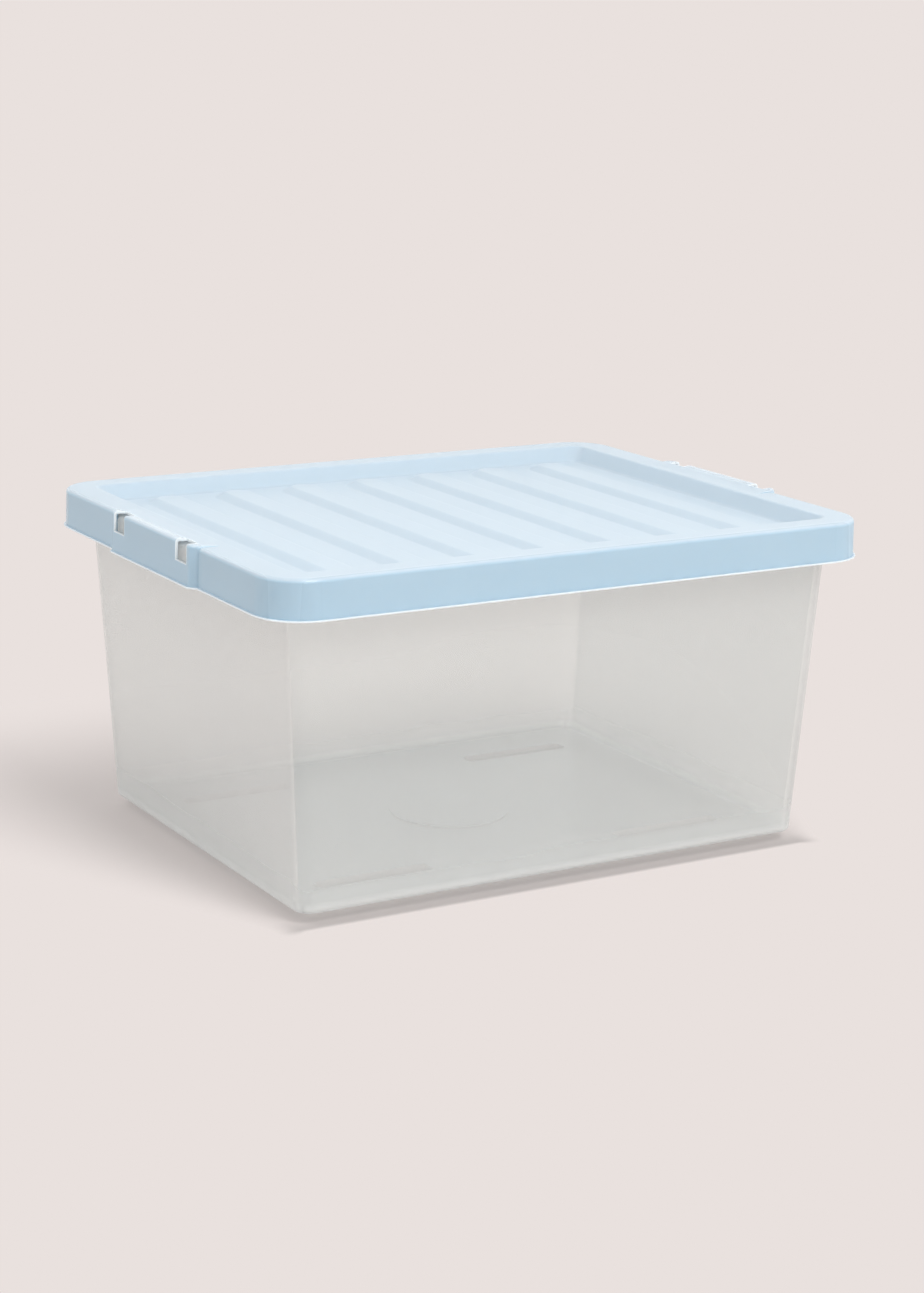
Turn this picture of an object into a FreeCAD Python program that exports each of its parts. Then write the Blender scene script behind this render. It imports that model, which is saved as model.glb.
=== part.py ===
"""Storage box with a lift-off lid, in two moulded pieces: a tapered tub on four feet, and a ribbed lid.

Millimetres. +X runs along the long side, +Y to the back and +Z up. The origin is the centre of the
footprint, on the floor.
"""

import FreeCAD, Part
import math
import os

# Overall sizes, as half widths from the centre, and heights above the floor.
LID_HALF_X = 260.0
LID_HALF_Y = 205.5
RIM_TOP = 265.5
SKIRT_BOTTOM = 234.7
FOOT_HEIGHT = 8.0

# Tub wall, whose half widths grow by the draft for each millimetre of height.
BASE_HALF_X = 222.5
BASE_HALF_Y = 171.4
DRAFT_X = 0.0615
DRAFT_Y = 0.041
TUB_WALL = 1.8
TUB_CORNER = 14.0
BASE_EDGE_RADIUS = 4.0

# Feet, which are pockets pressed out of the base.
FOOT_X = 134.0
FOOT_Y = 118.0
FOOT_HALF_LENGTH = 51.0
FOOT_HALF_WIDTH = 10.0
FOOT_CORNER = 6.0
FOOT_DRAFT = 0.8

# Raised disc in the middle of the base, which keeps the moulding gate off the floor.
DISC_RADIUS = 47.0
DISC_RISE = 1.2

# Flange and turned-down lip round the tub's mouth. The lip is shorter at the hand grips.
LID_GAP = 0.1
LIP_GAP = 0.9
LIP_HEIGHT = 20.0
GRIP_LIP_HEIGHT = 11.8
LIP_TOP_RADIUS = 3.4
LIP_STEP_RUN = 1.0
LIP_STEP_RADIUS = 2.5
MOUTH_RADIUS = 4.0

# Lid shell.
LID_WALL = 1.9
LID_CORNER = 37.0
SKIRT_DRAFT = 0.8
TOP_EDGE_RADIUS = 3.4
BEAD_PROUD = 1.6
BEAD_HEIGHT = 1.5
BEAD_RADIUS = 0.6

# Hand-grip bulge at each end of the lid, with a pad on top that rises towards the outer face.
GRIP_HALF_WIDTH = 70.0
GRIP_INNER_X = 240.0
GRIP_STEP_RUN = 6.5
GRIP_PROUD = 5.0
GRIP_RAISE = 1.6
GRIP_CORNER = 4.0
GRIP_EDGE_RADIUS = 2.4

# Notches in the skirt, each with a catch below it that clips under the tub's lip.
NOTCH_Y = 56.5
NOTCH_WIDTH = 19.0
NOTCH_DEPTH = 13.5
NOTCH_REACH = 10.0
CATCH_WIDTH = 15.0
CATCH_PROUD = 0.8
CATCH_HEIGHT = 4.5
CATCH_DROP = 0.4
CATCH_SLOPE = 0.3
CATCH_LAND = 0.9
CATCH_ROOT = 1.0

# Recess in the lid, which takes the feet of a box stacked on top.
RECESS_HALF_X = 232.5
RECESS_HALF_Y = 180.5
RECESS_DEPTH = 12.0
RECESS_RUN = 10.0
RECESS_CORNER = 10.0
RECESS_TOP_RADIUS = 3.0
RECESS_FLOOR_RADIUS = 4.0

# Ribs across the recess.
RIB_COUNT = 7
RIB_PITCH = 60.2
RIB_HALF_WIDTH = 18.0
RIB_HALF_LENGTH = 163.0
RIB_HEIGHT = 4.0
RIB_SLOPE = 8.0
RIB_TOP_RADIUS = 6.0
RIB_FOOT_RADIUS = 4.0

CLEAR = 5.0
SAME_HEIGHT = 0.01
SHORTEST_EDGE = 0.001

FLANGE_TOP = RIM_TOP - LID_WALL - LID_GAP
SKIRT_HALF_X = LID_HALF_X - BEAD_PROUD
SKIRT_HALF_Y = LID_HALF_Y - BEAD_PROUD
RECESS_FLOOR = RIM_TOP - RECESS_DEPTH
RECESS_SLOPE = RECESS_RUN / RECESS_DEPTH


def outline(corners, z):
    """Closed wire at height z. Each corner is (x, y, radius), rounded by a tangent arc."""
    points = [FreeCAD.Vector(x, y, z) for x, y, radius in corners]
    arcs = []
    for index, point in enumerate(points):
        before = (points[index - 1] - point).normalize()
        after = (points[(index + 1) % len(points)] - point).normalize()
        half_angle = before.getAngle(after) / 2
        radius = corners[index][2]
        reach = radius / math.tan(half_angle)
        inward = (before + after).normalize()
        middle = point + inward * (radius / math.sin(half_angle) - radius)
        arcs.append((point + before * reach, middle, point + after * reach))
    edges = []
    for index, (start, middle, end) in enumerate(arcs):
        edges.append(Part.Arc(start, middle, end).toShape())
        following = arcs[(index + 1) % len(arcs)][0]
        if end.distanceToPoint(following) > SHORTEST_EDGE:
            edges.append(Part.makeLine(end, following))
    return Part.Wire(edges)


def rectangle(half_x, half_y, radius, z):
    """Rounded rectangle round the origin."""
    signs = ((1, -1), (1, 1), (-1, 1), (-1, -1))
    return outline([(half_x * sx, half_y * sy, radius) for sx, sy in signs], z)


def between(lower, upper):
    """Solid with straight sides from one wire to another."""
    return Part.makeLoft([lower, upper], True, True)


def edges_at(solid, z, half_x=math.inf, half_y=math.inf):
    """Edges of a solid that lie in the plane at height z, within the given half widths."""
    found = []
    for edge in solid.Edges:
        box = edge.BoundBox
        level = abs(box.ZMin - z) < SAME_HEIGHT and abs(box.ZMax - z) < SAME_HEIGHT
        if level and max(box.XMax, -box.XMin) < half_x and max(box.YMax, -box.YMin) < half_y:
            found.append(edge)
    return found


def bar(profile, half_length, y=0.0):
    """Solid with a profile of (x, z) corners, extruded along Y by half a length each way from y."""
    points = [FreeCAD.Vector(x, y - half_length, z) for x, z in profile]
    face = Part.Face(Part.makePolygon(points + points[:1]))
    return face.extrude(FreeCAD.Vector(0, 2 * half_length, 0))


def both_ends(solid):
    """A solid made at +X, and its mirror image at -X."""
    return [solid, solid.mirror(FreeCAD.Vector(), FreeCAD.Vector(1, 0, 0))]


def four_ways(solid):
    """A solid made at +X +Y, and its mirror images in the other three quarters."""
    pair = both_ends(solid)
    return pair + [one.mirror(FreeCAD.Vector(), FreeCAD.Vector(0, 1, 0)) for one in pair]


# ---------------------------------------------------------------- tub


def wall_half_widths(z):
    """Outside half widths of the tapered wall at height z."""
    rise = z - FOOT_HEIGHT
    return BASE_HALF_X + DRAFT_X * rise, BASE_HALF_Y + DRAFT_Y * rise


def wall_section(inset, z):
    """Outline of the tapered wall at height z, moved inwards by inset."""
    half_x, half_y = wall_half_widths(z)
    return rectangle(half_x - inset, half_y - inset, TUB_CORNER - inset, z)


def tapered_block(inset, bottom, top):
    """The tub's outside, or with an inset its inside, with a rounded lower edge."""
    block = between(wall_section(inset, bottom), wall_section(inset, top))
    return block.makeFillet(BASE_EDGE_RADIUS - inset, edges_at(block, bottom))


def foot(inset, bottom, top):
    """One foot's outside, or with an inset its pocket."""
    half_x = FOOT_HALF_LENGTH - inset
    half_y = FOOT_HALF_WIDTH - inset
    radius = FOOT_CORNER - inset
    sole = rectangle(half_x - FOOT_DRAFT, half_y - FOOT_DRAFT, radius - FOOT_DRAFT, bottom)
    mouth = rectangle(half_x, half_y, radius, top)
    solid = between(sole, mouth)
    solid.translate(FreeCAD.Vector(FOOT_X, FOOT_Y, 0))
    return solid


def disc(radius, bottom, height):
    """Round plate in the middle of the base."""
    return Part.makeCylinder(radius, height, FreeCAD.Vector(0, 0, bottom))


def lip_outline(inset, z):
    """Outline of the tub's lip, which steps out at each end to fill the lid's bulges."""
    half_x = SKIRT_HALF_X - inset
    half_y = SKIRT_HALF_Y - inset
    radius = LID_CORNER - BEAD_PROUD - inset
    step_x = half_x + GRIP_PROUD
    width = GRIP_HALF_WIDTH - inset
    right = [
        (half_x, -half_y, radius),
        (half_x, -width, LIP_STEP_RADIUS),
        (step_x, LIP_STEP_RUN - width, LIP_STEP_RADIUS),
        (step_x, width - LIP_STEP_RUN, LIP_STEP_RADIUS),
        (half_x, width, LIP_STEP_RADIUS),
        (half_x, half_y, radius),
    ]
    left = [(-x, -y, corner) for x, y, corner in right]
    return outline(right + left, z)


def flange():
    """Flange and turned-down lip, closed over the mouth until the cavity is cut."""
    inset = LID_WALL + LIP_GAP
    bottom = FLANGE_TOP - LIP_HEIGHT
    outside = between(lip_outline(inset, bottom), lip_outline(inset, FLANGE_TOP))
    outside = outside.makeFillet(LIP_TOP_RADIUS, edges_at(outside, FLANGE_TOP))
    inset += TUB_WALL
    inside = between(lip_outline(inset, bottom - CLEAR), lip_outline(inset, FLANGE_TOP - TUB_WALL))
    hold = Part.makeBox(
        4 * GRIP_PROUD,
        2 * GRIP_HALF_WIDTH,
        LIP_HEIGHT - GRIP_LIP_HEIGHT + CLEAR,
        FreeCAD.Vector(SKIRT_HALF_X - 3 * GRIP_PROUD, -GRIP_HALF_WIDTH, bottom - CLEAR),
    )
    return outside.cut([inside] + both_ends(hold))


def round_mouth(tub):
    """Rounds the wall over into the flange, by the same bend inside and outside."""
    underside = FLANGE_TOP - TUB_WALL
    half_x, half_y = wall_half_widths(FLANGE_TOP)
    tub = tub.makeFillet(MOUTH_RADIUS + TUB_WALL, edges_at(tub, underside, half_x, half_y))
    return tub.makeFillet(MOUTH_RADIUS, edges_at(tub, FLANGE_TOP, half_x, half_y))


def make_tub():
    floor = FOOT_HEIGHT + TUB_WALL
    outside = tapered_block(0, FOOT_HEIGHT, FLANGE_TOP)
    outside = outside.fuse(four_ways(foot(0, 0, FOOT_HEIGHT + TUB_WALL / 2)))
    outside = outside.cut(disc(DISC_RADIUS, FOOT_HEIGHT - CLEAR, CLEAR + DISC_RISE))
    cavity = tapered_block(TUB_WALL, floor, FLANGE_TOP + CLEAR)
    cavity = cavity.cut(disc(DISC_RADIUS + TUB_WALL, floor - CLEAR, CLEAR + DISC_RISE))
    cavity = cavity.fuse(four_ways(foot(TUB_WALL, TUB_WALL, floor + CLEAR)))
    return round_mouth(outside.fuse(flange()).cut(cavity).removeSplitter())


# ---------------------------------------------------------------- lid


def lid_block(inset, top, edge_radius):
    """The lid's outside, or with an inset its inside, without the grips."""
    half_x = SKIRT_HALF_X - inset
    half_y = SKIRT_HALF_Y - inset
    radius = LID_CORNER - BEAD_PROUD - inset
    lower = rectangle(half_x, half_y, radius, SKIRT_BOTTOM)
    upper = rectangle(half_x - SKIRT_DRAFT, half_y - SKIRT_DRAFT, radius - SKIRT_DRAFT, top)
    block = between(lower, upper)
    return block.makeFillet(edge_radius, edges_at(block, top))


def grip_section(outer_x, inset, z):
    """Outline of the bulge at +X: its pad's inner edge, its sides, its sloping steps and its outer face."""
    step = math.hypot(GRIP_PROUD, GRIP_STEP_RUN)
    outer_y = GRIP_HALF_WIDTH - inset * (step - GRIP_STEP_RUN) / GRIP_PROUD
    step_x = outer_x + inset - GRIP_PROUD - inset * (step - GRIP_PROUD) / GRIP_STEP_RUN
    side_y = GRIP_HALF_WIDTH + GRIP_STEP_RUN - inset
    front = [
        (GRIP_INNER_X + inset, -side_y, GRIP_CORNER),
        (step_x, -side_y, GRIP_CORNER),
        (outer_x, -outer_y, GRIP_CORNER),
    ]
    back = [(x, -y, corner) for x, y, corner in reversed(front)]
    return outline(front + back, z)


def grip_block(inset, top, edge_radius):
    """The bulge's outside, or with an inset its inside. Its top slopes up from the rim to the outer face."""
    outer_x = SKIRT_HALF_X + GRIP_PROUD - inset
    lower = grip_section(outer_x, inset, SKIRT_BOTTOM)
    upper = grip_section(outer_x - SKIRT_DRAFT, inset, top)
    block = between(lower, upper)
    block = block.makeFillet(edge_radius, edges_at(block, top))
    above = [
        (GRIP_INNER_X, top - GRIP_RAISE),
        (SKIRT_HALF_X, top),
        (SKIRT_HALF_X, top + CLEAR),
        (GRIP_INNER_X, top + CLEAR),
    ]
    return block.cut(bar(above, LID_HALF_Y))


def recess_tool():
    """Cuts the recess down from the rim, with a rounded edge there."""
    floor_x = RECESS_HALF_X - RECESS_RUN
    floor_y = RECESS_HALF_Y - RECESS_RUN
    lower = rectangle(floor_x, floor_y, RECESS_CORNER, RECESS_FLOOR)
    upper = rectangle(RECESS_HALF_X, RECESS_HALF_Y, RECESS_CORNER, RIM_TOP)
    hollow = between(lower, upper)
    hollow = hollow.makeFillet(RECESS_FLOOR_RADIUS, edges_at(hollow, RECESS_FLOOR))
    room = rectangle(LID_HALF_X + 2 * CLEAR, LID_HALF_Y + 2 * CLEAR, LID_CORNER, RIM_TOP)
    roof = rectangle(LID_HALF_X + 2 * CLEAR, LID_HALF_Y + 2 * CLEAR, LID_CORNER, RIM_TOP + CLEAR)
    tool = hollow.fuse(between(room, roof))
    return tool.makeFillet(RECESS_TOP_RADIUS, edges_at(tool, RIM_TOP, LID_HALF_X, LID_HALF_Y))


def rib(inset, bottom, top):
    """Block with half-round ends and sloping sides: a rib, or with an inset the groove under it."""
    half_width = RIB_HALF_WIDTH - inset
    half_length = RIB_HALF_LENGTH - inset
    lower = rectangle(half_width, half_length, half_width, bottom)
    half_width -= RIB_SLOPE
    half_length -= RIB_SLOPE
    upper = rectangle(half_width, half_length, half_width, top)
    return between(lower, upper)


def across_recess(one):
    """Copies of a rib at every place across the recess."""
    first = -(RIB_COUNT - 1) / 2 * RIB_PITCH
    return [one.translated(FreeCAD.Vector(first + index * RIB_PITCH, 0, 0)) for index in range(RIB_COUNT)]


def add_ribs(body):
    """Fuses the ribs to the recess floor, with their upper and lower edges rounded."""
    top = RECESS_FLOOR + RIB_HEIGHT
    one = rib(0, RECESS_FLOOR, top)
    one = one.makeFillet(RIB_TOP_RADIUS, edges_at(one, top))
    body = body.fuse(across_recess(one)).removeSplitter()
    half_x = RECESS_HALF_X - RECESS_RUN - RECESS_FLOOR_RADIUS
    feet = edges_at(body, RECESS_FLOOR, half_x, RIB_HALF_LENGTH + SAME_HEIGHT)
    return body.makeFillet(RIB_FOOT_RADIUS, feet)


def bead_ring():
    """Thin flared bead round the bottom of the skirt, following the bulges."""
    low = SKIRT_BOTTOM
    high = SKIRT_BOTTOM + BEAD_HEIGHT
    outer_x = LID_HALF_X + GRIP_PROUD
    ring = between(*[rectangle(LID_HALF_X, LID_HALF_Y, LID_CORNER, z) for z in (low, high)])
    ends = between(*[grip_section(outer_x, -BEAD_PROUD, z) for z in (low, high)])
    ring = ring.fuse(both_ends(ends)).removeSplitter()
    ring = ring.makeFillet(BEAD_RADIUS, edges_at(ring, low) + edges_at(ring, high))
    middle = [rectangle(RECESS_HALF_X, RECESS_HALF_Y, RECESS_CORNER, z) for z in (low - CLEAR, high + CLEAR)]
    return ring.cut(between(*middle))


def plug():
    """The recess and its shell as one block, kept while the space around it is hollowed."""
    wider = LID_WALL * math.hypot(1, RECESS_SLOPE)
    bottom = RECESS_FLOOR - LID_WALL
    top = RIM_TOP + GRIP_RAISE
    sections = []
    for z in (bottom, top):
        run = RECESS_SLOPE * (z - RECESS_FLOOR) - RECESS_RUN + wider
        sections.append(rectangle(RECESS_HALF_X + run, RECESS_HALF_Y + run, RECESS_CORNER, z))
    block = between(*sections)
    return block.makeFillet(RECESS_FLOOR_RADIUS, edges_at(block, bottom))


def groove():
    """The space under one rib, inset so that the wall is as thick on the slopes as on top."""
    slope = RIB_SLOPE / RIB_HEIGHT
    inset = LID_WALL * (math.hypot(1, slope) - slope)
    return rib(inset, RECESS_FLOOR - LID_WALL, RECESS_FLOOR + RIB_HEIGHT - LID_WALL)


def lid_hollow():
    """The space under the lid: inside the skirt and grips, round the plug and under the ribs."""
    room = lid_block(LID_WALL, RIM_TOP - LID_WALL, TOP_EDGE_RADIUS - LID_WALL)
    grip_room = grip_block(LID_WALL, RIM_TOP + GRIP_RAISE - LID_WALL, GRIP_EDGE_RADIUS / 2)
    below = room.translated(FreeCAD.Vector(0, 0, SKIRT_BOTTOM - RIM_TOP))
    room = room.fuse(both_ends(grip_room) + [below]).cut(plug())
    return room.fuse(across_recess(groove()))


def notches():
    """Openings through the skirt and the edge of the top, two at each end."""
    corner = FreeCAD.Vector(
        SKIRT_HALF_X + GRIP_PROUD - NOTCH_REACH, NOTCH_Y - NOTCH_WIDTH / 2, RIM_TOP - NOTCH_DEPTH
    )
    return four_ways(Part.makeBox(NOTCH_REACH + CLEAR, NOTCH_WIDTH, NOTCH_DEPTH + CLEAR, corner))


def catches():
    """Catches inside the skirt, one under each notch, with a ramp that leads the lip past."""
    wall_x = SKIRT_HALF_X + GRIP_PROUD - LID_WALL
    tip_x = wall_x - CATCH_PROUD
    root_x = wall_x + CATCH_ROOT
    top = RIM_TOP - NOTCH_DEPTH - CATCH_DROP
    profile = [
        (root_x, top),
        (tip_x, top - CATCH_SLOPE),
        (tip_x, top - CATCH_SLOPE - CATCH_LAND),
        (root_x, top - CATCH_HEIGHT),
    ]
    return four_ways(bar(profile, CATCH_WIDTH / 2, NOTCH_Y))


def make_lid():
    body = lid_block(0, RIM_TOP, TOP_EDGE_RADIUS).cut(recess_tool())
    body = add_ribs(body)
    grip = grip_block(0, RIM_TOP + GRIP_RAISE, GRIP_EDGE_RADIUS)
    body = body.fuse(both_ends(grip) + [bead_ring()])
    return body.cut(lid_hollow()).cut(notches()).fuse(catches()).removeSplitter()


os.makedirs("parts", exist_ok=True)
make_tub().exportStep("parts/tub.step")
make_lid().exportStep("parts/lid.step")
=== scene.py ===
"""Studio picture of a frosted storage box with a pale blue lid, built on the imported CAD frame. Metres."""

import math

import bmesh
import bpy
from mathutils import Matrix, Vector


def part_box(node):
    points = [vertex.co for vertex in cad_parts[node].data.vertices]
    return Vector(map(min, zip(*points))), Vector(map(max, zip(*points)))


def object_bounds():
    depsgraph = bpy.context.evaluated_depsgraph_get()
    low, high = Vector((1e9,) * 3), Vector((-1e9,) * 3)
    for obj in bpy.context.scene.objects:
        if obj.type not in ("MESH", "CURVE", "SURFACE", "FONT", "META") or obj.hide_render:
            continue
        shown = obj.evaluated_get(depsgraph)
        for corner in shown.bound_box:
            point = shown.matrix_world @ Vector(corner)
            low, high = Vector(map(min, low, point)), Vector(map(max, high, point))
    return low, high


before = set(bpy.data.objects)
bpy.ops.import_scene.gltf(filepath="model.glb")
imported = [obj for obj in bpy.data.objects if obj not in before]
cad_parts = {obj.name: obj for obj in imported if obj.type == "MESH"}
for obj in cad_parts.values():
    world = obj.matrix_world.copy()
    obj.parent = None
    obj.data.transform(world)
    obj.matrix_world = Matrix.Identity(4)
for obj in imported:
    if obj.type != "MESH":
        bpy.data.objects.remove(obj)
cad_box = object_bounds()

# Camera: where it stands, where it looks in degrees, and its lens and sensor in millimetres.
CAMERA_PLACE = Vector((-1.0536, -1.8026, 0.6686))
CAMERA_YAW = 30.53
CAMERA_DOWN = 14.03
CAMERA_ROLL = 1.08
CAMERA_LENS = 74.56
CAMERA_SENSOR = 36.0

# The camera sees an even backdrop. Everything else is lit by a room as bright as ROOM_LEVEL overhead. Towards
# the horizon the room gets brighter on the right and darker on the left, and it is a little brighter behind.
BACKDROP = (0.815, 0.752, 0.730)
ROOM_LEVEL = 0.80
ROOM_RIGHT = 0.36
ROOM_BACK = 0.20

# Floor paper. The box's real shade on it shows only close to the base: a painted glow, GLOW being its share
# of backdrop light, fades it out over the REACH distances and rises under the base as painted light. In front
# of the base the paper is painted darker as painted shade, over a span measured outwards from the base's
# edge; UNDER_SPAN is measured inwards.
PAPER = (0.575, 0.53, 0.515)
PAPER_PAINTED_FRONT_SHADE = (0.42, 0.39, 0.38)
PAPER_GLOW = 0.20
UNDER_GLOW = 0.50
SHADE_HALF = (0.2225, 0.169)
FRONT_PAINTED_SHADE_SPAN = (-0.018, 0.009)
UNDER_SPAN = (-0.01, 0.04)
FRONT_START = 0.005
FRONT_REACH = 0.007
BACK_REACH = 0.32
BESIDE_SPREAD = 0.6
SIDE_REACH = 0.022
SIDE_SPREAD = 0.50
FLOOR_RADIUS = 8.0
FLOOR_SIDES = 96

# Frosted tub. WALL_CLEARNESS is what one wall lets straight through. The plastic is milkier where it is seen
# at a slant, low down, and most of all along the bottom edge, and its feet are painted grey as painted shade
# in their pockets. EDGE_SPAN is measured outwards from TUB_BASE_HALF, and the other spans are heights above
# the floor.
TUB_BASE_HALF = (0.2225, 0.1714)
WALL_CLEARNESS = 0.82
SLANT_POWER = -0.3
LEAST_FACING = 0.1
LOW_SPAN = (0.010, 0.045)
LOW_EXTRA = 0.8
EDGE_SPAN = (-0.006, -0.001)
EDGE_HEIGHT_SPAN = (0.011, 0.018)
EDGE_EXTRA = 3.0
FOOT_SPAN = (0.004, 0.0075)
CLEAR_WHITE = (0.995, 1.0, 0.995)
MILK_WHITE = (0.985, 0.995, 0.985)
FOOT_PAINTED_SHADE = (0.80, 0.80, 0.82)
THROUGH_SHARE = 0.60
TUB_INDEX = 1.42
TUB_SHINE = 0.6
TUB_ROUGHNESS = 0.22
TUB_CLOUD_SCALE = 14.0
TUB_CLOUD_SHARE = 0.06
TUB_GRAIN_SCALE = 2600.0
TUB_GRAIN_BUMP = 0.12

# Blue lid. Its top is painted paler and greyer than its skirt as a painted sheen on upward faces, and
# TOP_SPAN is how far upwards a face points as the colour changes. The skirt and the rounded edge above it,
# outside RIM_FLAT_HALF, are polished. The bottom bead and the notches' cut faces are painted white, a painted
# glow of light out of thin plastic.
SKIRT_BLUE = (0.43, 0.58, 0.69)
TOP_PAINTED_SHEEN_BLUE = (0.495, 0.585, 0.66)
TOP_SPAN = (0.25, 0.75)
GLOW_AND_CLOUD_WHITE = (0.80, 0.87, 0.92)
BEAD_HEIGHT = 0.0008
NOTCH_MIDDLE = 0.0565
NOTCH_HALF_WIDTH = 0.0099
NOTCH_INNER = 0.253
NOTCH_BOTTOM = 0.2515
NOTCH_PAINTED_GLOW = 0.8
RIM_FLAT_HALF = (0.2542, 0.1997)
POLISH_RUN = 0.001
TOP_ROUGHNESS = 0.40
SKIRT_ROUGHNESS = 0.13
LID_INDEX = 1.49
LID_DEPTH = 0.004
LID_DEPTH_SHARE = 0.8
LID_CLOUD_SCALE = 9.0
LID_CLOUD_SHARE = 0.05
LID_GRAIN_SCALE = 2200.0
LID_GRAIN_BUMP = 0.06
LID_WAVE_SCALE = 40.0
LID_WAVE_BUMP = 0.05

# Surface relief, and how many layers of noise each kind of variation has.
GRAIN_DEPTH = 0.0002
WAVE_DEPTH = 0.002
CLOUD_DETAIL = 3.0
GRAIN_DETAIL = 2.0
WAVE_DETAIL = 1.0

# Lamps, both aimed at the middle of the box.
KEY_PLACE = Vector((0.2, -2.0, 2.2))
KEY_SIZE = 1.2
KEY_WATTS = 40.0
SIDE_PLACE = Vector((-1.8, 0.2, 2.4))
SIDE_SIZE = 1.2
SIDE_WATTS = 14.0

TRANSPARENT_BOUNCES = 32


# ---------------------------------------------------------------- node helpers


class Nodes:
    """A small wrapper that adds and links shader nodes."""

    def __init__(self, tree):
        self.tree = tree
        tree.nodes.clear()

    def add(self, kind, inputs=None, **settings):
        """Adds a node, sets its attributes, and sets or links its inputs."""
        node = self.tree.nodes.new(kind)
        for name, value in settings.items():
            setattr(node, name, value)
        for name, value in (inputs or {}).items():
            if isinstance(value, bpy.types.NodeSocket):
                self.tree.links.new(value, node.inputs[name])
            else:
                node.inputs[name].default_value = value
        return node

    def math(self, operation, first, second=0.0, clamp=False):
        """One arithmetic node; returns its output."""
        node = self.add("ShaderNodeMath", {0: first, 1: second}, operation=operation, use_clamp=clamp)
        return node.outputs[0]

    def sum_of(self, base, value, times):
        """base + value * times."""
        return self.add("ShaderNodeMath", {0: value, 1: times, 2: base}, operation="MULTIPLY_ADD").outputs[0]

    def opposite(self, value):
        """1 - value."""
        return self.math("SUBTRACT", 1.0, value)

    def ramp(self, value, low, high):
        """Smooth step from 0 at low to 1 at high."""
        inputs = {"Value": value, "From Min": low, "From Max": high}
        return self.add("ShaderNodeMapRange", inputs, interpolation_type="SMOOTHSTEP").outputs[0]

    def split(self, vector):
        """The X, Y and Z of a vector, by name."""
        return self.add("ShaderNodeSeparateXYZ", {0: vector}).outputs

    def past(self, parts, half):
        """How far a place is past the X and the Y sides of a centred rectangle; negative inside it."""
        past_x = self.math("SUBTRACT", self.math("ABSOLUTE", parts["X"]), half[0])
        past_y = self.math("SUBTRACT", self.math("ABSOLUTE", parts["Y"]), half[1])
        return past_x, past_y

    def noise(self, vector, scale, detail):
        """Noise of a given number of waves per metre; returns its value output."""
        inputs = {"Vector": vector, "Scale": scale, "Detail": detail}
        return self.add("ShaderNodeTexNoise", inputs).outputs[0]

    def bump(self, height, strength, distance, **below):
        """A normal raised by a height; below may hold the Normal that it starts from."""
        inputs = {"Strength": strength, "Distance": distance, "Height": height, **below}
        return self.add("ShaderNodeBump", inputs).outputs[0]

    def mix(self, factor, first, second):
        """Mixes two colours; returns the colour output."""
        inputs = {0: factor, 6: first, 7: second}
        return self.add("ShaderNodeMix", inputs, data_type="RGBA").outputs[2]

    def blend(self, factor, first, second):
        """Mixes two shaders; returns the shader output."""
        return self.add("ShaderNodeMixShader", {0: factor, 1: first, 2: second}).outputs[0]

    def coordinates(self):
        """The texture coordinates of the point that is shaded."""
        return self.add("ShaderNodeTexCoord").outputs


def opaque(colour):
    """A colour with full alpha."""
    return (*colour, 1.0)


def new_material(name):
    """An empty node material and its node wrapper."""
    material = bpy.data.materials.new(name)
    material.use_nodes = True
    return material, Nodes(material.node_tree)


# ---------------------------------------------------------------- materials


def tub_haze(nodes, place):
    """How much of the light the frosted wall scatters at each point, from 0 for none to 1 for all."""
    geometry = nodes.add("ShaderNodeNewGeometry").outputs
    directions = {0: geometry["Normal"], 1: geometry["Incoming"]}
    facing = nodes.add("ShaderNodeVectorMath", directions, operation="DOT_PRODUCT").outputs["Value"]
    facing = nodes.math("MAXIMUM", nodes.math("ABSOLUTE", facing), LEAST_FACING)
    slant = nodes.math("POWER", facing, SLANT_POWER)

    parts = nodes.split(place)
    low = nodes.opposite(nodes.ramp(parts["Z"], *LOW_SPAN))
    past_x, past_y = nodes.past(parts, TUB_BASE_HALF)
    edge = nodes.ramp(nodes.math("MAXIMUM", past_x, past_y), *EDGE_SPAN)
    edge = nodes.math("MULTIPLY", edge, nodes.opposite(nodes.ramp(parts["Z"], *EDGE_HEIGHT_SPAN)))
    thickness = nodes.sum_of(1.0, low, LOW_EXTRA)
    thickness = nodes.sum_of(thickness, edge, EDGE_EXTRA)
    clear = nodes.math("POWER", WALL_CLEARNESS, nodes.math("MULTIPLY", slant, thickness))

    cloud = nodes.noise(place, TUB_CLOUD_SCALE, CLOUD_DETAIL)
    uneven = nodes.math("MULTIPLY", nodes.math("SUBTRACT", cloud, 0.5), TUB_CLOUD_SHARE)
    return nodes.math("ADD", nodes.opposite(clear), uneven, clamp=True)


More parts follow.
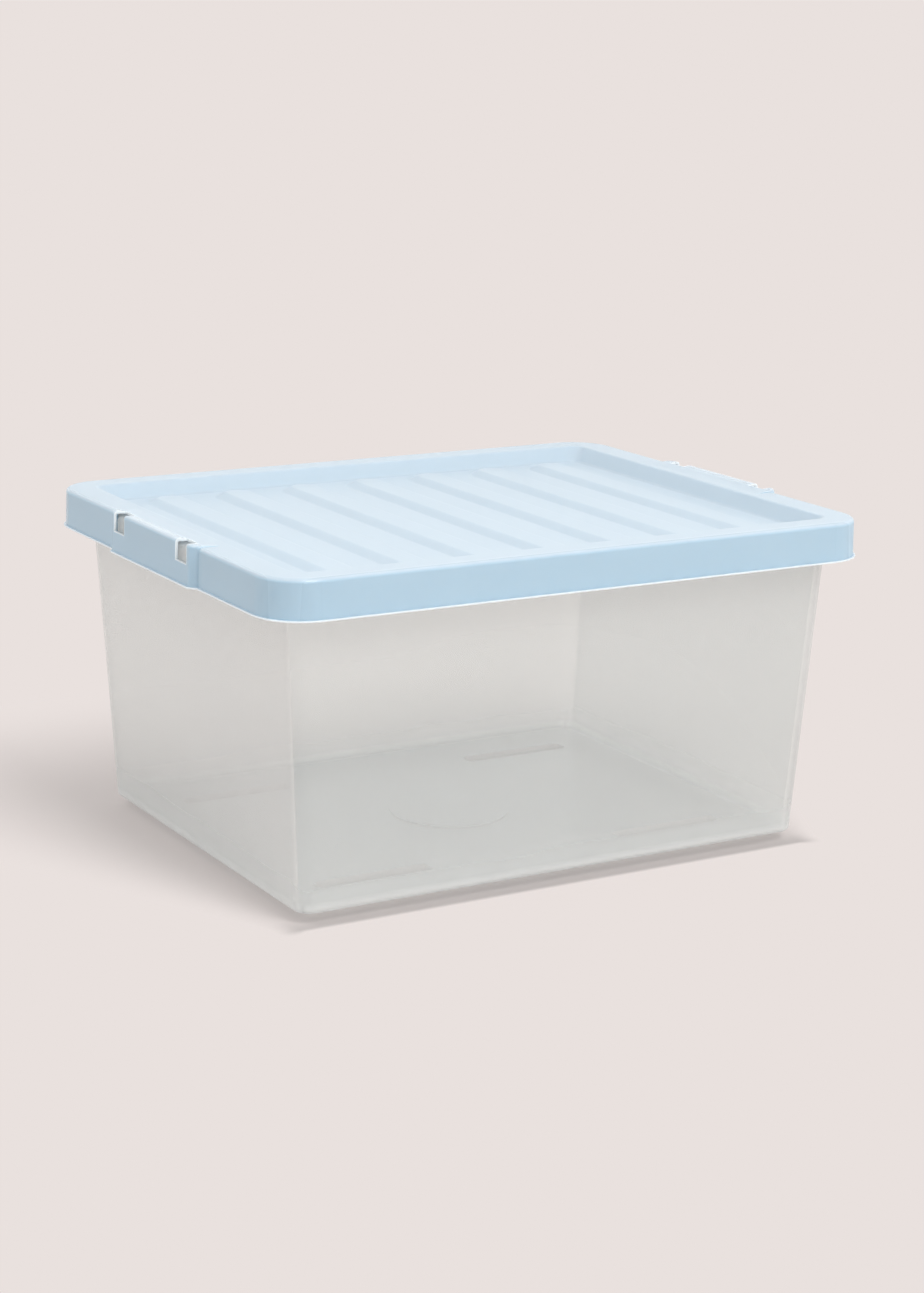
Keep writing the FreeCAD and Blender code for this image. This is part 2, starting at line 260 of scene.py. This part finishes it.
def frosted_plastic():
    """Milky polypropylene wall: part clear, part scattering, with a satin skin."""
    material, nodes = new_material("frosted_polypropylene")
    place = nodes.coordinates()["Object"]
    grain = nodes.noise(place, TUB_GRAIN_SCALE, GRAIN_DETAIL)
    normal = nodes.bump(grain, TUB_GRAIN_BUMP, GRAIN_DEPTH)

    # Painted shade: the feet, low in their pockets, are painted grey.
    foot_shade = nodes.opposite(nodes.ramp(nodes.split(place)["Z"], *FOOT_SPAN))
    milk = nodes.mix(foot_shade, opaque(MILK_WHITE), opaque(FOOT_PAINTED_SHADE))
    straight = nodes.add("ShaderNodeBsdfTransparent", {"Color": opaque(CLEAR_WHITE)}).outputs[0]
    back = nodes.add("ShaderNodeBsdfDiffuse", {"Color": milk, "Normal": normal}).outputs[0]
    through = nodes.add("ShaderNodeBsdfTranslucent", {"Color": milk, "Normal": normal}).outputs[0]
    scatter = nodes.blend(THROUGH_SHARE, back, through)
    body = nodes.blend(tub_haze(nodes, place), straight, scatter)

    gloss = {"Color": (1, 1, 1, 1), "Roughness": TUB_ROUGHNESS, "Normal": normal}
    skin = nodes.add("ShaderNodeBsdfAnisotropic", gloss).outputs[0]
    fresnel = nodes.add("ShaderNodeFresnel", {"IOR": TUB_INDEX, "Normal": normal}).outputs[0]
    surface = nodes.blend(nodes.math("MULTIPLY", fresnel, TUB_SHINE), body, skin)
    nodes.add("ShaderNodeOutputMaterial", {"Surface": surface})
    return material


def lid_painted_glow(nodes, parts):
    """How much painted glow whitens the lid's thin places: all of the bottom bead, and most of the notches'
    cut faces.
    """
    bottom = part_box("lid")[0].z
    bead_glow = nodes.opposite(nodes.ramp(parts["Z"], bottom + BEAD_HEIGHT, bottom + 2 * BEAD_HEIGHT))
    beside = nodes.math("SUBTRACT", nodes.math("ABSOLUTE", parts["Y"]), NOTCH_MIDDLE)
    notch_glow = nodes.math("LESS_THAN", nodes.math("ABSOLUTE", beside), NOTCH_HALF_WIDTH)
    outer = nodes.math("GREATER_THAN", nodes.math("ABSOLUTE", parts["X"]), NOTCH_INNER)
    above = nodes.math("GREATER_THAN", parts["Z"], NOTCH_BOTTOM)
    notch_glow = nodes.math("MULTIPLY", nodes.math("MULTIPLY", notch_glow, outer), above)
    return nodes.math("MAXIMUM", bead_glow, nodes.math("MULTIPLY", notch_glow, NOTCH_PAINTED_GLOW))


def lid_plastic():
    """Pale blue polypropylene with a soft gloss. Light spreads inside it; its thin places are painted white
    as a painted glow, and its top is painted paler as a painted sheen.
    """
    material, nodes = new_material("blue_polypropylene")
    coordinates = nodes.coordinates()
    place = coordinates["Object"]
    parts = nodes.split(place)
    grain = nodes.noise(place, LID_GRAIN_SCALE, GRAIN_DETAIL)
    wave = nodes.noise(place, LID_WAVE_SCALE, WAVE_DETAIL)
    fine = nodes.bump(grain, LID_GRAIN_BUMP, GRAIN_DEPTH)
    normal = nodes.bump(wave, LID_WAVE_BUMP, WAVE_DEPTH, Normal=fine)

    # Painted sheen: faces that point upwards are painted paler and greyer.
    upward_sheen = nodes.ramp(nodes.split(coordinates["Normal"])["Z"], *TOP_SPAN)
    blue = nodes.mix(upward_sheen, opaque(SKIRT_BLUE), opaque(TOP_PAINTED_SHEEN_BLUE))
    cloud = nodes.noise(place, LID_CLOUD_SCALE, CLOUD_DETAIL)
    blue = nodes.mix(nodes.math("MULTIPLY", cloud, LID_CLOUD_SHARE), blue, opaque(GLOW_AND_CLOUD_WHITE))
    # Painted glow: the bead and the notches' cut faces are painted white.
    colour = nodes.mix(lid_painted_glow(nodes, parts), blue, opaque(GLOW_AND_CLOUD_WHITE))

    past_x, past_y = nodes.past(parts, RIM_FLAT_HALF)
    polished = nodes.ramp(nodes.math("MAXIMUM", past_x, past_y), 0.0, POLISH_RUN)
    inputs = {
        "Base Color": colour,
        "Roughness": nodes.sum_of(TOP_ROUGHNESS, polished, SKIRT_ROUGHNESS - TOP_ROUGHNESS),
        "IOR": LID_INDEX,
        "Subsurface Weight": LID_DEPTH_SHARE,
        "Subsurface Radius": (1.0, 1.0, 1.0),
        "Subsurface Scale": LID_DEPTH,
        "Normal": normal,
    }
    surface = nodes.add("ShaderNodeBsdfPrincipled", inputs).outputs[0]
    nodes.add("ShaderNodeOutputMaterial", {"Surface": surface})
    return material


def floor_paper():
    """Pale studio paper with a painted glow like the backdrop that lets the box's shade show only close to
    the base, painted light under the box, and a painted shade strip in front of it.
    """
    material, nodes = new_material("studio_paper")
    parts = nodes.split(nodes.coordinates()["Object"])
    past_x, past_y = nodes.past(parts, SHADE_HALF)
    beside = nodes.math("MAXIMUM", past_x, 0.0)
    beyond = nodes.math("MAXIMUM", nodes.math("SUBTRACT", past_y, FRONT_START), 0.0)
    behind = nodes.math("GREATER_THAN", parts["Y"], 0.0)

    # The painted glow lets the shade reach far behind the box, hardly in front of it, and further to the
    # sides towards the back.
    reach = nodes.sum_of(FRONT_REACH, behind, BACK_REACH - FRONT_REACH)
    reach = nodes.sum_of(reach, beside, BESIDE_SPREAD)
    from_front = nodes.math("MAXIMUM", nodes.math("ADD", parts["Y"], SHADE_HALF[1]), 0.0)
    across = nodes.math("DIVIDE", beside, nodes.sum_of(SIDE_REACH, from_front, SIDE_SPREAD))
    along = nodes.math("DIVIDE", beyond, reach)
    steps = nodes.add("ShaderNodeCombineXYZ", {"X": across, "Y": along}).outputs[0]
    distance = nodes.add("ShaderNodeVectorMath", {0: steps}, operation="LENGTH").outputs["Value"]
    far = nodes.ramp(distance, 0.0, 1.0)
    # Painted light: under the base the glow share rises towards UNDER_GLOW.
    inward = nodes.math("MULTIPLY", nodes.math("MAXIMUM", past_x, past_y), -1.0)
    under = nodes.ramp(inward, *UNDER_SPAN)
    share = nodes.sum_of(PAPER_GLOW, far, 1.0 - PAPER_GLOW)
    share = nodes.sum_of(share, under, UNDER_GLOW - PAPER_GLOW)

    # Painted shade: in front of the base the paper is painted darker.
    painted_front_shade = nodes.math("MULTIPLY", nodes.ramp(past_y, *FRONT_PAINTED_SHADE_SPAN), nodes.opposite(behind))
    colour = nodes.mix(painted_front_shade, opaque(PAPER), opaque(PAPER_PAINTED_FRONT_SHADE))
    paper = nodes.add("ShaderNodeBsdfDiffuse", {"Color": colour}).outputs[0]
    glow = nodes.add("ShaderNodeEmission", {"Color": opaque(BACKDROP)}).outputs[0]
    nodes.add("ShaderNodeOutputMaterial", {"Surface": nodes.blend(share, paper, glow)})
    return material


def dress(node, material):
    """Puts one material in every slot of a CAD node."""
    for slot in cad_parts[node].material_slots:
        slot.material = material


# ---------------------------------------------------------------- studio


def make_floor():
    """A wide round sheet of paper at floor level."""
    mesh = bpy.data.meshes.new("floor")
    shape = bmesh.new()
    bmesh.ops.create_circle(shape, cap_ends=True, radius=FLOOR_RADIUS, segments=FLOOR_SIDES)
    shape.to_mesh(mesh)
    shape.free()
    mesh.materials.append(floor_paper())
    floor = bpy.data.objects.new("floor", mesh)
    bpy.context.scene.collection.objects.link(floor)


def make_world():
    """The backdrop that the camera sees, and the room that lights everything else."""
    world = bpy.data.worlds.new("studio")
    bpy.context.scene.world = world
    world.use_nodes = True
    nodes = Nodes(world.node_tree)
    parts = nodes.split(nodes.coordinates()["Generated"])
    level = nodes.sum_of(ROOM_LEVEL, parts["X"], ROOM_RIGHT)
    heights = {"Value": parts["Z"], "To Min": level, "To Max": ROOM_LEVEL}
    strength = nodes.add("ShaderNodeMapRange", heights).outputs[0]
    behind = nodes.math("MAXIMUM", parts["Y"], 0.0)
    strength = nodes.sum_of(strength, nodes.math("MULTIPLY", behind, behind), ROOM_BACK)
    room = nodes.add("ShaderNodeBackground", {"Color": (1, 1, 1, 1), "Strength": strength}).outputs[0]
    backdrop = nodes.add("ShaderNodeBackground", {"Color": opaque(BACKDROP)}).outputs[0]
    seen = nodes.add("ShaderNodeLightPath").outputs["Is Camera Ray"]
    nodes.add("ShaderNodeOutputWorld", {"Surface": nodes.blend(seen, room, backdrop)})


def make_light(name, place, size, watts, target):
    """A square lamp at a place, aimed at a target."""
    data = bpy.data.lights.new(name, "AREA")
    data.shape = "SQUARE"
    data.size = size
    data.energy = watts
    lamp = bpy.data.objects.new(name, data)
    lamp.location = place
    lamp.rotation_euler = (target - place).to_track_quat("-Z", "Y").to_euler()
    bpy.context.scene.collection.objects.link(lamp)


def make_camera():
    """Camera from its place and its three angles."""
    yaw, down, roll = (math.radians(angle) for angle in (CAMERA_YAW, CAMERA_DOWN, CAMERA_ROLL))
    ahead = Vector((math.sin(yaw) * math.cos(down), math.cos(yaw) * math.cos(down), -math.sin(down)))
    level = Vector((math.cos(yaw), -math.sin(yaw), 0.0))
    upright = level.cross(ahead)
    right = level * math.cos(roll) + upright * math.sin(roll)
    up = upright * math.cos(roll) - level * math.sin(roll)
    data = bpy.data.cameras.new("camera")
    data.lens = CAMERA_LENS
    data.sensor_width = CAMERA_SENSOR
    camera = bpy.data.objects.new("camera", data)
    turn = Matrix((right, up, -ahead)).transposed().to_4x4()
    camera.matrix_world = Matrix.Translation(CAMERA_PLACE) @ turn
    bpy.context.scene.collection.objects.link(camera)
    bpy.context.scene.camera = camera


centre = (cad_box[0] + cad_box[1]) / 2
dress("tub", frosted_plastic())
dress("lid", lid_plastic())
make_floor()
make_world()
make_light("key", KEY_PLACE, KEY_SIZE, KEY_WATTS, centre)
make_light("side", SIDE_PLACE, SIDE_SIZE, SIDE_WATTS, centre)
make_camera()
bpy.context.scene.view_settings.view_transform = "Standard"
bpy.context.scene.cycles.transparent_max_bounces = TRANSPARENT_BOUNCES
